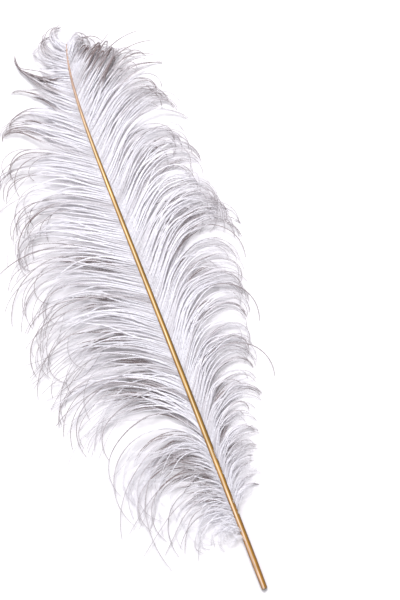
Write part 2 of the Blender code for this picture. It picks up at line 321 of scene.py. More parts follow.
# Barbs that fold back over the top of the narrow vane, with their dark backs outwards: partly
# darker undersides and partly painted shade of the fold.
foldedBarbs = {
    "spacing": ((0.845, 0.0025), (0.88, 0.0020), (0.91, 0.0015), (0.95, 0.0011), (0.97, 0.0018)),
    "span": (0.845, 0.970),
    "length": ((0.845, 0.092), (0.87, 0.088), (0.90, 0.080), (0.92, 0.066), (0.945, 0.050),
               (0.97, 0.034)),
    "leavesAt": 43.0,
    "endsAt": 50.0,
    "fold": (176.0, 12.0),        # turn, mean and spread
    "foldsBack": (0.009, 0.017),  # length of the folded end
    "foldOver": 0.005,            # distance over which it turns
    "jitter": 0.35,
    "reaches": 1.0,
    "strand": (2, 5),
    "hold": (0.7, 0.97),
    "clings": 0.0,
    "endSpread": 7.0,
    "ownSpread": 6.0,
    "wave": 5.0,
    "stray": 0.03,
    "lift": (0.0010, 0.0030),
    "shingle": 0.0,
    "tipHeight": (0.0060, 0.0100),
    "stem": ((0.0, 0.00024), (0.5, 0.00020), (1.0, 0.00008)),
    "reach": ((0.00, 0.0006), (0.45, 0.0006), (0.60, 0.0007), (0.78, 0.0007), (0.88, 0.0005),
              (1.00, 0.0003)),
    "barbule": ((0.0, 0.0022), (0.5, 0.0026), (0.7, 0.0030), (1.0, 0.0016)),
    "barbuleWidth": 0.00030,
    "barbules": 620,
    "tone": ((0.0, 0.95), (0.38, 0.82), (0.55, 0.34), (0.68, 0.02), (0.80, 0.06), (0.87, 0.46),
             (1.0, 0.70)),
    "toneSpread": 0.26,
}
downBarbs = {
    "spacing": ((0.08, 0.0016), (0.30, 0.0026)),
    "span": (0.085, 0.26),
    "length": ((0.08, 0.022), (0.12, 0.042), (0.18, 0.060), (0.26, 0.050)),
    "jitter": 0.40,
    "reaches": 1.0,
    "strand": (1, 2),
    "hold": (0.0, 0.3),
    "clings": 0.0,
    "endSpread": 22.0,
    "ownSpread": 18.0,
    "wave": 40.0,
    "stray": 0.2,
    "lift": (-0.0020, 0.0060),
    "shingle": 0.0,
    "tipHeight": (0.0006, 0.0070),
    "stem": ((0.0, 0.00016), (0.5, 0.00009), (1.0, 0.00004)),
    "reach": ((0.00, 0.0014), (0.30, 0.0020), (0.80, 0.0016), (1.00, 0.0006)),
    "barbule": ((0.0, 0.0026), (0.3, 0.0036), (1.0, 0.0020)),
    "barbuleWidth": 0.00009,
    "barbules": 420,
    "tone": ((0.0, 0.95), (0.4, 0.95), (1.0, 0.70)),
    "toneSpread": 0.06,
}
# Single barbs that stray from the others.
looseBarbs = {
    # side, place, length, and the angles at the root and each third of the length
    "each": (
        (1, 0.120, 0.076, 26, 84, 145, 162), (1, 0.128, 0.084, 14, 78, 120, 148),
        (1, 0.140, 0.090, 26, 80, 143, 160), (1, 0.166, 0.128, 14, 88, 150, 196),
        (1, 0.186, 0.142, 12, 80, 140, 212), (1, 0.225, 0.158, 10, 82, 142, 236),
        (1, 0.206, 0.150, 10, 84, 128, 216), (1, 0.250, 0.196, 10, 78, 146, 210),
        (1, 0.160, 0.104, 24, 102, 135, 133), (1, 0.170, 0.124, 22, 103, 126, 129),
        (1, 0.210, 0.130, 24, 99, 123, 131), (1, 0.247, 0.187, 24, 122, 168, 200),
        (1, 0.270, 0.168, 26, 111, 135, 170), (1, 0.310, 0.161, 30, 92, 130, 205),
        (1, 0.360, 0.140, 36, 94, 117, 195), (1, 0.400, 0.172, 40, 94, 121, 199),
        (1, 0.460, 0.184, 44, 65, 112, 166), (1, 0.500, 0.184, 46, 67, 105, 189),
        (1, 0.600, 0.178, 52, 65, 113, 165), (1, 0.630, 0.151, 54, 72, 86, 117),
        (1, 0.700, 0.142, 56, 66, 114, 172), (1, 0.775, 0.112, 50, 51, 72, 150),
        (1, 0.783, 0.118, 50, 52, 78, 190), (1, 0.790, 0.118, 56, 62, 103, 196),
        (-1, 0.360, 0.134, 36, 61, 127, 196), (-1, 0.460, 0.146, 42, 59, 127, 204),
        (-1, 0.560, 0.150, 46, 57, 117, 196), (-1, 0.890, 0.099, 50, 60, 71, 124),
        (-1, 0.900, 0.103, 48, 59, 70, 102), (-1, 0.915, 0.095, 46, 54, 63, 91),
        (-1, 0.930, 0.065, 42, 47, 57, 44),
    ),
    # the tip's curls, each group between its first and its last one, and how many they are
    "groups": (
        ((1, 0.942, 0.030, 72, 84, 88, 70),
         (1, 0.958, 0.030, 66, 76, 78, 40), 6),
        ((1, 0.958, 0.054, 66, 74, 36, -100),
         (1, 0.976, 0.045, 64, 62, 6, -120), 6),
        ((1, 0.980, 0.046, 62, 54, -20, -120),
         (1, 0.998, 0.026, 50, 50, -5, -95), 5),
        ((-1, 0.970, 0.049, 34, 44, 80, 140),
         (-1, 0.999, 0.035, 16, 42, 136, 236), 5),
    ),
    "groupSpread": (0.0, 0.0008, 0.0020, 3, 5, 9, 14),  # of the same values
    "paler": 0.3,  # of those shorter than the next value
    "palerBelow": 0.037,
    "lift": (0.0030, 0.0070),
    "tipHeight": (0.0020, 0.0060),
    "reaches": 1.0,
    "stem": ((0.0, 0.00030), (0.5, 0.00040), (0.9, 0.00032), (1.0, 0.00018)),
    "reach": ((0.00, 0.0008), (0.30, 0.0008), (0.60, 0.0008), (0.90, 0.0005), (1.00, 0.0002)),
    "barbule": ((0.0, 0.0022), (0.5, 0.0024), (1.0, 0.0014)),
    "barbuleWidth": 0.00028,
    "barbules": 900,
    "tone": ((0.0, 0.95), (0.30, 0.80), (0.45, 0.52), (0.65, 0.26), (1.0, 0.08)),
    "toneSpread": 0.05,
}

# Painted shade where barbs turn over or cling in a lock: the shade under the curls and between the
# clinging barbs, partly with the barbs' darker undersides; a negative amount lightens again.
# Columns: side, place, half of its width there, the share of the barbs' length after which they are
# darker, and by how much of the tone.
shadedPlaces = (
    (1, 0.915, 0.030, 0.22, 0.34), (1, 0.915, 0.030, 0.66, -0.42), (1, 0.878, 0.012, 0.50, 0.12),
    (1, 0.810, 0.014, 0.50, 0.22), (1, 0.810, 0.014, 0.78, -0.22), (1, 0.690, 0.016, 0.45, 0.25),
    (1, 0.230, 0.160, 0.55, -0.32), (1, 0.105, 0.020, 0.00, -0.25), (1, 0.200, 0.022, 0.20, 0.70),
    (1, 0.200, 0.022, 0.48, -0.70), (1, 0.320, 0.014, 0.32, 0.55), (1, 0.320, 0.014, 0.62, -0.55),
    (1, 0.936, 0.008, 0.20, 0.60), (1, 0.956, 0.010, 0.45, -0.45), (-1, 0.925, 0.050, 0.55, 0.22),
    (-1, 0.820, 0.040, 0.55, 0.20), (-1, 0.865, 0.026, 0.45, 0.26), (1, 0.780, 0.100, 0.55, 0.15),
)
# How the painted shade spreads, in the pockets between locks and in the shaded places:
shadeForm = {
    "pocketHalf": 0.016,  # of a pocket, along the shaft
    "pocketLonger": 1.3,  # than the pocket itself, along the barbs
    "core": 1.6,          # height at a place's middle, which is cut off at 1,
    "edge": 1.2,          # and its fall to each side
    "sets": 0.15,         # share of the length over which the dark sets in
}


# How strands and barbs vary, and how they follow each other. Shares are of the length.
growth = {
    "furthest": 1.6,             # draws past this many times their spread are brought back to it
    "longest": 0.6,              # the same, for longer ones
    "latest": 0.4,               # and for those that droop later
    "sinks": 1.5,                # power with which a barb comes down from the shaft
    "bendsOver": 0.6,            # share over which it bends forward
    "lowest": 0.0004,            # of its line above the surface
    "overhang": (0.012, 0.010),  # of barbs before the first lock and past the last one
    "downOverhang": 0.020,
    "lastRoot": 0.998,
    "strandLength": (0.985, 0.07),  # mean and spread, of the locks'
    "leavesSpread": 0.8,
    "lateSpread": 0.16,
    "lengthSpread": 0.05,
    "tipSpread": (-0.0004, 0.0012),
    "hookFrom": 0.78,
    "hookOver": 0.24,
    "gatheredHook": 0.3,         # of the usual one
    "waves": (4.0, 10.0),
    "phase": 6.28,
    "phaseSpread": 0.8,
    "strandWave": 0.8,           # shares of the kind's own wave
    "barbWave": 0.7,
    "clingsFrom": 0.48,          # where strands bend to their lock
    "holdFrom": 0.28,            # where barbs bend to their strand
    "nearsOver": 0.45,           # over which share they do
    "lockHeight": 0.2,           # how far strands follow a lock's height
    "tightFrom": 0.8,            # strands that cling more than this hold their barbs
    "tightHold": 0.85,
    "strayEnds": 26.0,           # spread of a stray barb's end
    "strayLeast": 36.0,          # by which it ends before its strand at most
    "strayLength": (0.75, 1.0),
    "shingleOver": 0.25,
    "tones": (0.8, 0.6),         # shares of the kind's own spread, by strand and by barb
    "twists": (0.9, 0.3),
    "twistGrows": 1.3,           # with this power of the share
}


# Angles from the shaft's direction along each barb.
def bending(barbs, middle):
    turn = (barbs["endsAt"] - barbs["leavesAt"])[:, None]
    forward = np.sin(math.pi * np.minimum(1.0, middle / growth["bendsOver"]))
    angle = (barbs["leavesAt"][:, None] + turn * middle ** barbs["droopsLate"][:, None]
             - barbs["bendsForward"][:, None] * forward)
    if "hook" in barbs:
        angle = angle + barbs["hook"][:, None] * eased(
            (middle - barbs["hookFrom"][:, None]) / barbs["hookOver"][:, None])
        angle = angle + barbs["wave"][:, None] * middle * np.sin(
            barbs["waves"][:, None] * middle + barbs["phase"][:, None])
    return angle


def sweep(side, barbs, reaches=1.0, angle=None):
    middle = reaches * midShare
    if angle is None:
        angle = bending(barbs, middle)
    heading = shaftHeadings(barbs["place"])[:, None] + side * np.radians(angle)
    step = reaches * barbs["length"][:, None] / stations
    points = np.zeros((len(barbs["place"]), stations + 1, 3))
    points[:, 1:, 0] = np.cumsum(np.cos(heading) * step, axis=1)
    points[:, 1:, 1] = np.cumsum(np.sin(heading) * step, axis=1)
    root = shaftPoints(barbs["place"])
    root[:, 2] -= shaftLine["rootDrop"] * along(shaftLine["radii"], barbs["place"])
    points[..., :2] += root[:, None, :2]
    sunk = (reaches * share) ** growth["sinks"]
    tipHeight = barbs.get("tipHeight", np.full(len(root), growth["lowest"]))[:, None]
    points[..., 2] = (root[:, None, 2] * (1.0 - sunk) + tipHeight * sunk
                      + barbs["lift"][:, None] * np.sin(math.pi * reaches * share))
    return points


def barbRoots(vane, kind, varied):
    before, past = growth["overhang"]
    low, high = kind.get("span", (vane["first"] - before,
                                  min(growth["lastRoot"], vane["last"] + past)))
    fine = np.linspace(max(low, vane["first"] - growth["downOverhang"]), high, 800)
    density = 1.0 / along(kind["spacing"], fine)
    steps = (density[1:] + density[:-1]) / 2.0 * np.diff(fine) * shaftLine["length"]
    filled = np.concatenate([[0.0], np.cumsum(steps)])
    count = int(filled[-1])
    spot = np.arange(count) + 0.5 + varied.uniform(-1.0, 1.0, count) * kind["jitter"]
    return np.interp(spot, filled, fine)


# Neighbours in one lock cling together in strands.
def strandNumbers(lockOf, kind, varied):
    numbers = np.zeros(len(lockOf), int)
    inside = 0
    target = varied.integers(*kind["strand"])
    for index in range(1, len(lockOf)):
        inside += 1
        full = inside >= target or lockOf[index] != lockOf[index - 1]
        numbers[index] = numbers[index - 1] + full
        if full:
            inside = 0
            target = varied.integers(*kind["strand"])
    return numbers


# Openings between locks, where the barbs above and below part.
smallPockets = {
    "spread": 0.9,           # of their height, as a share of it
    "highest": 0.0036,
    "middle": (0.34, 0.50),  # shares of the barbs' length
    "half": (0.06, 0.10),
    "beside": 0.010,
}


def partedBy(vane, kind, place, locks, varied):
    between = (locks["place"][1:] + locks["place"][:-1]) / 2.0
    count = len(between)
    height = along(vane["pocket"], between) * (
        1.0 + smallPockets["spread"] * varied.normal(0.0, 1.0, count))
    height = kind["clings"] * np.clip(height, 0.0, smallPockets["highest"])
    centre = varied.uniform(*smallPockets["middle"], count)
    half = varied.uniform(*smallPockets["half"], count)
    rows = [(*row, smallPockets["beside"]) for row in zip(between, centre, half, height)]
    rows += [(*row[:3], kind["clings"] * row[3], row[4]) for row in vane["pockets"]]
    parted = np.zeros((len(place), len(share)))
    for spot, middle, wide, high, beside in rows:
        away = (place - spot) / beside
        parted += (high * np.sign(away) * np.exp(-np.abs(away)))[:, None] * np.exp(
            -((kind["reaches"] * share - middle) / wide) ** 2)[None, :]
    return parted


# Points on others' lines, up to the share of these that each one reaches.
def alongLines(lines, owner, reached):
    at = np.minimum(reached, 1.0)[:, None] * share[None, :]
    points = sample(lines, np.repeat(owner, len(share)), at.ravel())
    return points.reshape(len(owner), len(share), 3)


def scattered(varied, spread, count, most=growth["furthest"]):
    return spread * np.clip(varied.normal(0.0, 1.0, count), -growth["furthest"], most)


def growVane(vane, kind, seed):
    varied = np.random.default_rng(seed)
    tapering = np.random.default_rng(seed + 100)
    side = vane["side"]
    reaches = kind["reaches"]
    locks = lockTable(vane)
    lockPaths = sweep(side, locks, reaches)
    place = barbRoots(vane, kind, varied)
    count = len(place)
    lockOf = np.abs(place[:, None] - locks["place"][None, :]).argmin(axis=1)
    for gathered in vane["gathered"]:
        middle = (gathered["from"] + gathered["to"]) / 2.0
        inside = (place > gathered["from"]) & (place < gathered["to"])
        lockOf[inside] = np.argmin(abs(locks["place"] - middle))
    strandOf = strandNumbers(lockOf, kind, varied)
    strands = strandOf[-1] + 1
    strandPlace = np.array([place[strandOf == s].mean() for s in range(strands)])
    strandLock = np.array([lockOf[strandOf == s][0] for s in range(strands)])

    # the strands' lines, between their own lock's and the vane's
    own = kind.get("own", vane["own"])
    table = {key: (1.0 - own) * np.interp(strandPlace, locks["place"], values)
             + own * values[strandLock]
             for key, values in locks.items()}
    table["place"] = strandPlace
    leaves = np.interp(strandPlace, locks["place"], locks["leavesAt"])
    table["leavesAt"] = leaves
    table["hookFrom"] = np.full(strands, growth["hookFrom"])
    table["hookOver"] = np.full(strands, growth["hookOver"])
    table["hook"] = varied.normal(*vane["hook"], strands)
    if "fold" in kind:
        table["leavesAt"] = np.full(strands, kind["leavesAt"])
        table["endsAt"] = np.full(strands, kind["endsAt"])
        table["droopsLate"] = np.ones(strands)
        table["hook"] = varied.normal(*kind["fold"], strands)
    spreads = along(vane["spreads"], strandPlace)
    table["endsAt"] += spreads * scattered(varied, kind["endSpread"], strands)
    if "length" in kind:
        table["length"] = along(kind["length"], strandPlace)
    mean, spread = growth["strandLength"]
    table["length"] *= mean + scattered(varied, spread, strands, growth["longest"])
    if "fold" in kind:
        table["hookFrom"] = 1.0 - varied.uniform(*kind["foldsBack"], strands) / table["length"]
        table["hookOver"] = kind["foldOver"] / table["length"]
    table["lift"] += varied.uniform(*kind["lift"], strands)
    table["tipHeight"] = varied.uniform(*kind["tipHeight"], strands)
    cling = kind["clings"] * varied.uniform(along(vane["clingsLeast"], strandPlace),
                                            along(vane["clingsMost"], strandPlace))
    start = np.full(strands, growth["clingsFrom"])
    for gathered in vane["gathered"]:
        inside = gather(table, gathered)
        shorter = 1.0 - gathered["tapers"] * tapering.random(strands) ** 2
        table["length"] *= np.where(inside, shorter, 1.0)
        table["hook"] = np.where(inside, growth["gatheredHook"] * table["hook"], table["hook"])
        cling = np.where(inside, gathered["cling"], cling)
        start = np.where(inside, gathered["clingsFrom"], start)
    table["wave"] = spreads * varied.normal(0.0, growth["strandWave"] * kind["wave"], strands)
    table["waves"] = varied.uniform(*growth["waves"], strands)
    table["phase"] = varied.uniform(0.0, growth["phase"], strands)
    strandPaths = sweep(side, table, reaches)
    pull = cling[:, None] * eased((share[None, :] - start[:, None]) / growth["nearsOver"])
    toLock = alongLines(lockPaths, strandLock, table["length"] / locks["length"][strandLock])
    toLock -= strandPaths
    toLock[..., 2] *= growth["lockHeight"]
    strandPaths = strandPaths + toLock * pull[..., None]

    # each barb's own line, held to its strand's
    table = {key: values[strandOf] for key, values in table.items()}
    table["place"] = place
    table["leavesAt"] += varied.normal(0.0, growth["leavesSpread"], count)
    if "fold" not in kind:
        table["leavesAt"] += np.interp(place, locks["place"], locks["leavesAt"]) - leaves[strandOf]
    spreads = along(vane["spreads"], place)
    lowest = table["endsAt"] - growth["strayLeast"]
    table["endsAt"] += spreads * scattered(varied, kind["ownSpread"], count)
    spread = kind.get("lateSpread", growth["lateSpread"])
    table["droopsLate"] *= np.exp(scattered(varied, spread, count, growth["latest"]))
    spread = kind.get("lengthSpread", growth["lengthSpread"])
    table["length"] *= 1.0 + scattered(varied, spread, count, growth["longest"])
    table["tipHeight"] += varied.uniform(*growth["tipSpread"], count)
    table["wave"] += spreads * varied.normal(0.0, growth["barbWave"] * kind["wave"], count)
    table["phase"] += varied.normal(0.0, growth["phaseSpread"], count)
    stray = varied.random(count) < kind["stray"]
    table["endsAt"] = np.maximum(
        table["endsAt"] + stray * scattered(varied, growth["strayEnds"], count), lowest)
    shorter = varied.uniform(*growth["strayLength"], count)
    table["length"] *= np.where(stray, shorter, 1.0)
    paths = sweep(side, table, reaches)
    hold = np.where(stray, 0.0, varied.uniform(*kind["hold"], count))
    hold = np.maximum(hold, np.where(stray, 0.0, along(vane["holdsLeast"], place)))
    tight = np.where(cling > growth["tightFrom"], growth["tightHold"], 0.0)
    hold = np.maximum(hold, tight[strandOf])
    start = kind.get("holdFrom", growth["holdFrom"])
    pull = hold[:, None] * eased((share[None, :] - start) / growth["nearsOver"])
    strandLength = np.linalg.norm(np.diff(strandPaths, axis=1), axis=2).sum(axis=1)
    toStrand = alongLines(strandPaths, strandOf, table["length"] / strandLength[strandOf])
    paths = paths + (toStrand - paths) * pull[..., None]
    widest = abs(paths[..., 0] - paths[:, :1, 0]).max(axis=1)
    narrower = np.minimum(1.0, vane["widest"] / widest)[:, None, None]
    paths[..., :2] = paths[:, :1, :2] + (paths[..., :2] - paths[:, :1, :2]) * narrower

    # locks part in places, and lie on each other like shingles
    way = np.gradient(paths[..., :2], axis=1)
    way /= np.linalg.norm(way, axis=2, keepdims=True)
    forward = side * np.stack([way[..., 1], -way[..., 0]], axis=-1)
    paths[..., :2] += forward * partedBy(vane, kind, place, locks, varied)[..., None]
    gap = np.gradient(locks["place"])[lockOf]
    inLock = (place - locks["place"][lockOf]) / gap
    raised = eased(share / growth["shingleOver"])[None, :]
    paths[..., 2] += kind["shingle"] * inLock[:, None] * raised
    paths[..., 2] = np.maximum(paths[..., 2], growth["lowest"])
    byStrand, byBarb = growth["tones"]
    tone = varied.normal(0.0, byStrand, strands)[strandOf] + varied.normal(0.0, byBarb, count)
    tone = tone * kind["toneSpread"]
    if "shadeInPockets" in kind:
        tone = tone + along(vane["paler"], place)
    byStrand, byBarb = growth["twists"]
    twist = varied.normal(0.0, byStrand, strands)[strandOf] + varied.normal(0.0, byBarb, count)
    fullness = along(vane["fullness"], place) if "span" not in kind else np.ones(count)
    return {"side": np.full(count, side), "place": place, "paths": paths, "tone": tone,
            "twist": twist, "fullness": fullness}


def growLoose(kind, seed):
    varied = np.random.default_rng(seed)
    rows = list(kind["each"])
    for first, last, count in kind["groups"]:
        for between in np.linspace(0.0, 1.0, count)[:, None]:
            row = np.array(first) * (1.0 - between) + np.array(last) * between
            rows.append(row + varied.normal(0.0, 1.0, len(row)) * kind["groupSpread"])
    rows = np.array(rows)
    count = len(rows)
    knots = np.linspace(0.0, 1.0, rows.shape[1] - 3)
    angle = np.array([np.interp(midShare, knots, row[3:]) for row in rows])
    table = {"place": rows[:, 1], "length": rows[:, 2],
             "lift": varied.uniform(*kind["lift"], count),
             "tipHeight": varied.uniform(*kind["tipHeight"], count)}
    return {"side": rows[:, 0], "place": rows[:, 1],
            "paths": sweep(rows[:, :1], table, angle=angle),
            "tone": (varied.normal(0.0, kind["toneSpread"], count)
                     + kind["paler"] * (rows[:, 2] < kind["palerBelow"])),
            "twist": varied.normal(0.0, growth["twists"][0], count), "fullness": np.ones(count)}


# Painted shade taken from the barbs' tone: in the pockets between locks, where the lower barbs lie
# in shade, and in the shaded places.
def paintedShading(side, place, reached, pocketShade):
    dark = 0.0
    for vane in (wideVane, narrowVane):
        for spot, middle, half, height, beside in vane["pockets"]:
            near = np.exp(-((place - spot) / shadeForm["pocketHalf"]) ** 2
                          - ((reached - middle) / (shadeForm["pocketLonger"] * half)) ** 2)
            dark = dark + pocketShade * near * (side == vane["side"])
    for onSide, spot, half, start, much in shadedPlaces:
        near = eased(shadeForm["core"] - shadeForm["edge"] * abs(place - spot) / half)
        near = near * (side == onSide)
        dark = dark + much * near * eased((reached - start) / shadeForm["sets"])
    return dark


# Directions along a barb, to its side, and upwards from it, with its own twist.
def barbFrames(paths, twist):
    tangent = np.gradient(paths, axis=1)
    tangent /= np.linalg.norm(tangent, axis=2, keepdims=True)
    across = np.cross(tangent, np.array([0.0, 0.0, 1.0]))
    across /= np.linalg.norm(across, axis=2, keepdims=True)
    above = np.cross(across, tangent)
    roll = twist[:, None] * share[None, :] ** growth["twistGrows"]
    c, s = np.cos(roll)[..., None], np.sin(roll)[..., None]
    return tangent, across * c + above * s, above * c - across * s


def sample(values, owner, at):
    spot = np.clip(at, 0.0, 1.0) * stations
    low = np.minimum(spot.astype(int), stations - 1)
    part = (spot - low)[:, None]
    return values[owner, low] * (1.0 - part) + values[owner, low + 1] * part


# Barbules. Pairs are the least and the most of a value, as shares of the kind's own.
barbuleForm = {
    "perLength": 0.160,      # length of a barb with the kind's own number of them a side
    "fewest": 24,
    "span": (0.004, 0.992),  # of the barb
    "reach": (0.35, 1.35),
    "length": (0.65, 1.25),
    "width": (0.7, 1.3),
    "overReach": 1.15,       # least length, against the reach
    "tilt": 0.5,
    "rises": 0.8,            # of the tilt's height
    "steepest": 0.12,        # reach against length, for the width of the foot
    "lowest": 0.0001,
    "edge": 0.36,            # of the UV row of a barb
    "foot": 0.15,
    "toneSpread": 0.04,
    "stemPaler": 0.05,
}


def barbArrays(barbs, kind, seed):
    varied = np.random.default_rng(seed)
    paths = barbs["paths"]
    count = len(paths)
    tangent, across, above = barbFrames(paths, barbs["twist"])
    lengths = np.linalg.norm(np.diff(paths, axis=1), axis=2).sum(axis=1)
    row = (np.arange(count) + 0.5) / count

    # the barb's own stem, a three-sided tapering tube
    radius = along(kind["stem"], share)[None, :, None, None]
    corner = np.radians([90.0, 210.0, 330.0])[None, None, :, None]
    stem = (paths[:, :, None, :] + across[:, :, None, :] * np.cos(corner) * radius
            + above[:, :, None, :] * np.sin(corner) * radius)
    base = (np.arange(count) * (stations + 1) * 3)[:, None, None]
    ring = (np.arange(stations) * 3)[None, :, None]
    a = base + ring + np.arange(3)[None, None, :]
    b = base + ring + (np.arange(3)[None, None, :] + 1) % 3
    quads = np.stack([a, b, b + 3, a + 3], axis=-1).reshape(-1, 4)
    stemTris = np.concatenate([quads[:, [0, 1, 2]], quads[:, [0, 2, 3]]])
    stemU = np.broadcast_to(share[None, :, None], (count, stations + 1, 3)).reshape(-1)
    stemV = (row[:, None, None] + np.array([-0.1, 0.1, 0.0])[None, None, :] / count
             + np.zeros((1, stations + 1, 1))).reshape(-1)
    stemOwner = np.repeat(np.arange(count), (stations + 1) * 3)

    # barbules on both sides of it, each a fine blade
    form = barbuleForm
    perSide = np.maximum(form["fewest"],
                         (lengths / form["perLength"] * kind["barbules"]).astype(int))
    owner = np.repeat(np.arange(count), perSide * 2)
    first = np.concatenate([[0], np.cumsum(perSide * 2)[:-1]])
    index = np.arange(len(owner)) - first[owner]
    many = len(owner)
    hand = np.where(index % 2 == 0, 1.0, -1.0)
    at = index / (perSide[owner] * 2) + varied.uniform(-0.5, 0.5, many) / perSide[owner]
    at = np.clip(at, *form["span"])
    reach = along(kind["reach"], at) * varied.uniform(*form["reach"], many)
    reach *= barbs["fullness"][owner]
    long = along(kind["barbule"], at) * varied.uniform(*form["length"], many)
    long = np.maximum(long, reach * form["overReach"])
    tilt = varied.normal(0.0, form["tilt"], many)
    width = kind["barbuleWidth"] * varied.uniform(*form["width"], many)
    atTip = at + np.sqrt(long ** 2 - reach ** 2) / lengths[owner]
    slant = width / np.maximum(reach / long, form["steepest"]) / lengths[owner]

    def placed(spot, away, lift):
        past = np.maximum(spot - 1.0, 0.0)[:, None] * lengths[owner][:, None]
        return (sample(paths, owner, spot) + sample(tangent, owner, spot) * past
                + sample(across, owner, spot) * (hand * away)[:, None]
                + sample(above, owner, spot) * lift[:, None])

    still = np.zeros(many)
    blades = np.stack([placed(at, still, still), placed(at + slant, still, still),
                       placed(atTip, reach * np.cos(tilt), reach * np.sin(tilt) * form["rises"])],
                      axis=1)
    blades[..., 2] = np.maximum(blades[..., 2], form["lowest"])
    start = np.arange(many) * 3 + len(stemU)
    flip = hand > 0.0
    bladeTris = np.stack([start, np.where(flip, start + 2, start + 1),
                          np.where(flip, start + 1, start + 2)], axis=1)
    edge = hand * form["edge"] / count
    bladeU = np.stack([at, np.minimum(at + slant, 1.0), np.minimum(atTip, 1.0)], axis=1)
    bladeV = np.stack([row[owner], row[owner] + form["foot"] * edge, row[owner] + edge], axis=1)

    owners = np.concatenate([stemOwner, np.repeat(owner, 3)])
    u = np.concatenate([stemU, bladeU.reshape(-1)])
    tone = (along(kind["tone"], kind["reaches"] * u) + barbs["tone"][owners]
            - paintedShading(barbs["side"][owners], barbs["place"][owners], kind["reaches"] * u,
                        kind.get("shadeInPockets", 0.0)))
    tone[:len(stemU)] += form["stemPaler"]
    tone[len(stemU):] += np.repeat(varied.normal(0.0, form["toneSpread"], many), 3)
    return {
        "vertices": np.concatenate([stem.reshape(-1, 3), blades.reshape(-1, 3)]),
        "tris": np.concatenate([stemTris, bladeTris]),
        "u": u,
        "v": np.concatenate([stemV, bladeV.reshape(-1)]),
        "tone": tone,
    }


def meshFrom(name, arrays):
    mesh = bpy.data.meshes.new(name)
    tris = arrays["tris"].astype(np.int32)
    mesh.vertices.add(len(arrays["vertices"]))
    mesh.vertices.foreach_set("co", arrays["vertices"].astype(np.float32).ravel())
    mesh.loops.add(tris.size)
    mesh.loops.foreach_set("vertex_index", tris.ravel())
    mesh.polygons.add(len(tris))
    mesh.polygons.foreach_set("loop_start", np.arange(0, tris.size, 3, dtype=np.int32))
    mesh.update(calc_edges=True)
    corners = np.stack([arrays["u"], arrays["v"]], axis=1)[tris.ravel()].astype(np.float32)
    mesh.uv_layers.new(name="OFBake").uv.foreach_set("vector", corners.ravel())
    addValues(mesh, "tone", arrays["tone"])
    return addPiece(name, mesh)


def addValues(mesh, name, values):
    layer = mesh.attributes.new(name, 'FLOAT', 'POINT')
    layer.data.foreach_set("value", values.astype(np.float32))


def addPiece(name, data):
    added = bpy.data.objects.new(name, data)
    bpy.context.scene.collection.objects.link(added)
    return added


def meshOf(name, bm):
    mesh = bpy.data.meshes.new(name)
    bm.to_mesh(mesh)
    bm.free()
    return mesh


def settle(piece, material):
    piece.data.materials.append(material)
    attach(piece, "root")
    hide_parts("feather")


# Finishes. A tone of 0 is taupe and one of 1 is light; the low tones also carry the painted shade
# under and between the barbs.
silver = {
    "light": (0.80, 0.785, 0.845, 1.0),
    "grey": (0.470, 0.434, 0.464, 1.0),
    "taupe": (0.205, 0.154, 0.160, 1.0),
    "greyAt": 0.50,
    "surface": {"Roughness": 0.5, "Sheen Weight": 0.15},
}
# Colours across the shaft, from its left edge to its right one: a pale streak along the middle,
# partly its own pale ridge and partly a painted highlight, and darker brown towards both edges,
# partly the horn's own colour and partly painted shade.
horn = {
    "shaft": ((0.00, (0.20, 0.095, 0.025)), (0.14, (0.46, 0.23, 0.055)), (0.30, (0.66, 0.37, 0.09)),
              (0.38, (0.98, 0.78, 0.50)), (0.48, (0.98, 0.76, 0.45)), (0.58, (0.58, 0.31, 0.05)),
              (0.74, (0.28, 0.14, 0.018)), (1.00, (0.10, 0.052, 0.008))),
    "quill": ((0.00, (0.15, 0.07, 0.02)), (0.13, (0.38, 0.17, 0.045)), (0.25, (0.64, 0.36, 0.16)),
              (0.34, (0.92, 0.68, 0.54)), (0.47, (0.90, 0.64, 0.48)), (0.57, (0.50, 0.25, 0.04)),
              (0.80, (0.30, 0.125, 0.006)), (1.00, (0.15, 0.06, 0.004))),
    "tip": (0.50, 0.31, 0.22, 1.0),
    "rim": (0.17, 0.145, 0.115, 1.0),
    "shaftBy": (0.06, 0.30),  # places between which the quill's colours give way
    "tipBy": (0.80, 0.93),
    "rimBy": (0.0006, 0.0040),
    "streaks": 0.22,
    "streakSize": (900.0, 26.0, 900.0),
    "streakEdges": (0.35, 0.65),
    "surface": {"Roughness": 0.34},
}


# Values that are the same all over a surface stand on the shader's own sockets.
def newMaterial(name, surface):
    material = bpy.data.materials.new(name)
    material.use_nodes = True
    tree = material.node_tree
    shader = tree.nodes["Principled BSDF"]
    for socket, value in surface.items():
        shader.inputs[socket].default_value = value
    return material, tree, shader


def attribute(tree, name):
    node = tree.nodes.new("ShaderNodeAttribute")
    node.attribute_name = name
    return node.outputs["Fac"]


def ramped(tree, value, stops):
    ramp = tree.nodes.new("ShaderNodeValToRGB")
    elements = ramp.color_ramp.elements
    while len(elements) < len(stops):
        elements.new(0.5)
    for element, (position, colour) in zip(elements, stops):
        element.position = position
        element.color = colour if len(colour) == 4 else tuple(colour) + (1.0,)
    tree.links.new(value, ramp.inputs["Fac"])
    return ramp.outputs["Color"]


def blended(tree, factor, first, second, way='MIX'):
    mix = tree.nodes.new("ShaderNodeMix")
    mix.data_type = 'RGBA'
    mix.blend_type = way
    for socket, value in (("Factor", factor), ("A", first), ("B", second)):
        if isinstance(value, bpy.types.NodeSocket):
            tree.links.new(value, mix.inputs[socket])
        else:
            mix.inputs[socket].default_value = value
    return mix.outputs["Result"]


def barbMaterial():
    material, tree, shader = newMaterial("silverBarbs", silver["surface"])
    # the barbs' tone, whose low end holds painted shade as well as their own taupe
    colour = ramped(tree, attribute(tree, "tone"), ((0.0, silver["taupe"]),
                                                    (silver["greyAt"], silver["grey"]),
                                                    (1.0, silver["light"])))
    tree.links.new(colour, shader.inputs["Base Color"])
    return material


def grey(value):
    return (value, value, value, 1.0)


def turning(tree, value, between, first=0.0, last=1.0):
    return ramped(tree, value, ((between[0], grey(first)), (between[1], grey(last))))


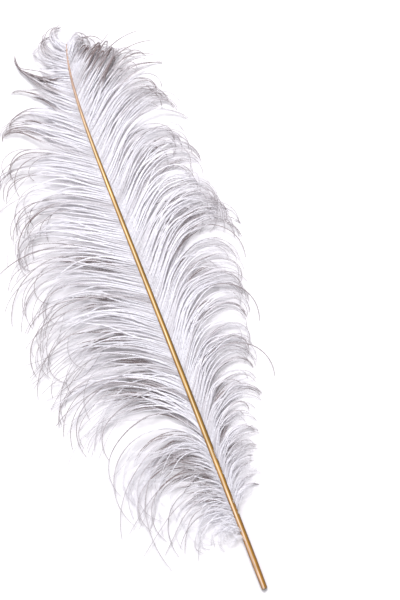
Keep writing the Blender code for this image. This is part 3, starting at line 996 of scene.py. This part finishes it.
def hornMaterial():
    material, tree, shader = newMaterial("goldenHorn", horn["surface"])
    place = attribute(tree, "place")
    across = attribute(tree, "across")
    # the pale middle streak across the shaft is partly a painted highlight, and its dark edges
    # partly painted shade
    colour = blended(tree, turning(tree, place, horn["shaftBy"]),
                     ramped(tree, across, horn["quill"]), ramped(tree, across, horn["shaft"]))
    colour = blended(tree, turning(tree, place, horn["tipBy"]), colour, horn["tip"])
    colour = blended(tree, turning(tree, place, horn["rimBy"], 1.0, 0.0), colour, horn["rim"])
    # fine streaks along it
    where = tree.nodes.new("ShaderNodeTexCoord")
    stretch = tree.nodes.new("ShaderNodeMapping")
    stretch.inputs["Scale"].default_value = horn["streakSize"]
    tree.links.new(where.outputs["Object"], stretch.inputs["Vector"])
    noise = tree.nodes.new("ShaderNodeTexNoise")
    noise.inputs["Scale"].default_value = 1.0
    noise.inputs["Detail"].default_value = 3.0
    tree.links.new(stretch.outputs["Vector"], noise.inputs["Vector"])
    streaks = turning(tree, noise.outputs["Fac"], horn["streakEdges"], 1.0 - 2.0 * horn["streaks"])
    tree.links.new(blended(tree, 1.0, colour, streaks, 'MULTIPLY'), shader.inputs["Base Color"])
    return material


# The shaft: a bare, hollow-ended quill below, grooved underneath where the vanes grow.
shaftForm = {
    "sides": 24,
    "rings": 110,
    "quillEnd": ((0.0, 0.80), (0.0006, 0.95), (0.0016, 1.0)),  # distance, share of the radius
    "ringsFrom": 0.006,
    "point": 0.35,       # of the tip's radius
    "mouth": 0.55,       # of the open end, as a share of its radius
    "mouthDeep": 0.006,
    "groove": 0.30,
    "grooveWidth": 0.75,
    "grooveFrom": 0.08,
    "grooveSets": 0.08,  # share of the shaft over which it sets in
}


def makeShaft():
    bm = bmesh.new()
    turnLayer = bm.verts.layers.float.new("turn")
    numberLayer = bm.verts.layers.int.new("number")
    length = shaftLine["length"]
    places = [distance / length for distance, part in shaftForm["quillEnd"]]
    parts = [part for distance, part in shaftForm["quillEnd"]]
    rest = np.linspace(shaftForm["ringsFrom"], 1.0, shaftForm["rings"])
    places = np.array(places + list(rest))
    parts = np.array(parts + [1.0] * len(rest))
    parts[-1] = shaftForm["point"]
    centres = shaftPoints(places)
    headings = shaftHeadings(places)
    radii = along(shaftLine["radii"], places) * parts
    grooved = shaftForm["groove"] * eased(
        (places - shaftForm["grooveFrom"]) / shaftForm["grooveSets"])

    def setRing(vertices, number, radius=None):
        radius = radii[number] if radius is None else radius
        across = Vector((math.sin(headings[number]), -math.cos(headings[number]), 0.0))
        for vertex in vertices:
            turn = vertex[turnLayer]
            under = math.remainder(turn + math.pi / 2.0, 2.0 * math.pi) / shaftForm["grooveWidth"]
            wide = radius * (1.0 - grooved[number] * math.exp(-under * under))
            vertex.co = (Vector(centres[number]) + across * wide * math.cos(turn)
                         + Vector((0.0, 0.0, wide * math.sin(turn))))
            vertex[numberLayer] = number

    made = bmesh.ops.create_circle(bm, segments=shaftForm["sides"], radius=1.0, cap_ends=True)
    for vertex in made["verts"]:
        vertex[turnLayer] = math.atan2(vertex.co.y, vertex.co.x)
    first = made["verts"][0].link_faces[0]
    setRing(made["verts"], 0)
    end = first
    for number in range(1, len(places)):
        grown = bmesh.ops.extrude_face_region(bm, geom=[end])["geom"]
        if end is not first:
            bmesh.ops.delete(bm, geom=[end], context='FACES_ONLY')
        end = next(item for item in grown if isinstance(item, bmesh.types.BMFace))
        setRing(end.verts, number)
    bmesh.ops.recalc_face_normals(bm, faces=bm.faces[:])
    # the quill's open mouth
    bmesh.ops.inset_region(bm, faces=[first], thickness=radii[0] * (1.0 - shaftForm["mouth"]),
                           use_even_offset=True)
    grown = bmesh.ops.extrude_face_region(bm, geom=[first])["geom"]
    bmesh.ops.delete(bm, geom=[first], context='FACES_ONLY')
    floor = next(item for item in grown if isinstance(item, bmesh.types.BMFace))
    bmesh.ops.translate(bm, verts=floor.verts[:], vec=(0.0, shaftForm["mouthDeep"], 0.0))
    bmesh.ops.recalc_face_normals(bm, faces=bm.faces[:])

    uvLayer = bm.loops.layers.uv.new("OFBake")
    for face in bm.faces:
        turns = [loop.vert[turnLayer] / (2.0 * math.pi) % 1.0 for loop in face.loops]
        wraps = max(turns) - min(turns) > 0.5
        for loop, turn in zip(face.loops, turns):
            turn = turn + 1.0 if wraps and turn < 0.5 else turn
            loop[uvLayer].uv = (places[loop.vert[numberLayer]], turn * 0.9)
    mesh = meshOf("shaft", bm)
    turns = np.array([value.value for value in mesh.attributes["turn"].data])
    numbers = np.array([value.value for value in mesh.attributes["number"].data])
    addValues(mesh, "across", 0.5 + 0.5 * np.cos(turns))
    addValues(mesh, "place", places[numbers])
    mesh.shade_smooth()
    return addPiece("shaft", mesh)


# Camera, light and floor.
picture = {
    "across": 400, "down": 600,
    "quillEnd": (265.0, 590.0),  # where the shaft's two ends are in the picture
    "tip": (66.0, 43.0),
    "lens": 100.0,
    "sensor": 36.0,
    "atScale": 0.008,            # height of the plane that is seen at the picture's scale
}
studio = {
    "key": {"away": (-0.20, 1.32, 2.56), "size": 1.0, "power": 84.0},
    "over": {"away": (-0.2, 0.3, 2.2), "size": 2.6, "power": 12.0},
    "surround": 0.53,
    "floor": {"half": 6.0, "below": 0.0002,
              "surface": {"Base Color": (0.790, 0.770, 0.808, 1.0), "Roughness": 0.9,
                          "Specular IOR Level": 0.1}},
}


def makeCamera():
    lean = Vector((picture["tip"][0] - picture["quillEnd"][0],
                   picture["quillEnd"][1] - picture["tip"][1]))
    metresPerPixel = shaftLine["length"] / lean.length
    roll = math.atan2(lean.x, lean.y)
    toMiddle = Vector((picture["across"] / 2 - picture["quillEnd"][0],
                       picture["quillEnd"][1] - picture["down"] / 2)) * metresPerPixel
    right = Vector((math.cos(roll), math.sin(roll), 0.0))
    up = Vector((-math.sin(roll), math.cos(roll), 0.0))
    middle = plumeOrigin + right * toMiddle.x + up * toMiddle.y
    lens = bpy.data.cameras.new("camera")
    lens.lens = picture["lens"]
    lens.sensor_width = picture["sensor"]
    distance = picture["lens"] / picture["sensor"] * picture["down"] * metresPerPixel
    camera = addPiece("camera", lens)
    camera.location = middle + Vector((0.0, 0.0, distance + picture["atScale"]))
    camera.rotation_euler = (0.0, 0.0, roll)
    bpy.context.scene.camera = camera
    return right, up, middle


def makeLight(name, right, up, middle):
    values = studio[name]
    lamp = bpy.data.lights.new(name, 'AREA')
    lamp.shape = 'SQUARE'
    lamp.size = values["size"]
    lamp.energy = values["power"]
    light = addPiece(name, lamp)
    x, y, z = values["away"]
    light.location = middle + right * x + up * y + Vector((0.0, 0.0, z))
    light.rotation_euler = (middle - light.location).to_track_quat('-Z', 'Y').to_euler()


def makeFloor():
    floor = studio["floor"]
    bm = bmesh.new()
    bmesh.ops.create_grid(bm, x_segments=2, y_segments=2, size=floor["half"])
    bmesh.ops.translate(bm, verts=bm.verts[:], vec=(0.0, 0.0, -floor["below"]))
    mesh = meshOf("floor", bm)
    mesh.materials.append(newMaterial("paper", floor["surface"])[0])
    addPiece("floor", mesh)


def makeSurround():
    world = bpy.data.worlds.new("surround")
    world.use_nodes = True
    background = world.node_tree.nodes["Background"]
    background.inputs["Color"].default_value = grey(1.0)
    background.inputs["Strength"].default_value = studio["surround"]
    bpy.context.scene.world = world
    bpy.context.scene.view_settings.view_transform = 'Standard'


right, up, middle = makeCamera()
makeFloor()
makeSurround()
for name in ("key", "over"):
    makeLight(name, right, up, middle)
print("stage ready")

shaft = makeShaft()
settle(shaft, hornMaterial())
print("shaft made,", len(shaft.data.polygons), "faces")

silverBarbs = barbMaterial()
# piece, vane, kind of barbs, number of pieces, seed
layers = (("wide_vane_top", wideVane, topBarbs, 3, 5),
          ("wide_vane_under", wideVane, underBarbs, 2, 6),
          ("narrow_vane_top", narrowVane, smoothBarbs, 3, 8),
          ("narrow_vane_under", narrowVane, deepBarbs, 2, 9),
          ("narrow_vane_folded", narrowVane, foldedBarbs, 1, 10),
          ("wide_vane_down", wideVane, downBarbs, 1, 11),
          ("narrow_vane_down", narrowVane, downBarbs, 1, 12))
total = 0
for name, vane, kind, parts, seed in layers:
    grown = growVane(vane, kind, seed)
    for number, chosen in enumerate(np.array_split(np.arange(len(grown["place"])), parts)):
        part = {key: values[chosen] for key, values in grown.items()}
        arrays = barbArrays(part, kind, seed * 10 + number)
        piece = meshFrom(name if parts == 1 else name + "_" + str(number + 1), arrays)
        settle(piece, silverBarbs)
        total += len(arrays["tris"])
        print(piece.name, "has", len(chosen), "barbs,", len(arrays["tris"]), "triangles")
arrays = barbArrays(growLoose(looseBarbs, 15), looseBarbs, 16)
settle(meshFrom("loose_barbs", arrays), silverBarbs)
print("loose barbs made;", total + len(arrays["tris"]), "triangles in all")
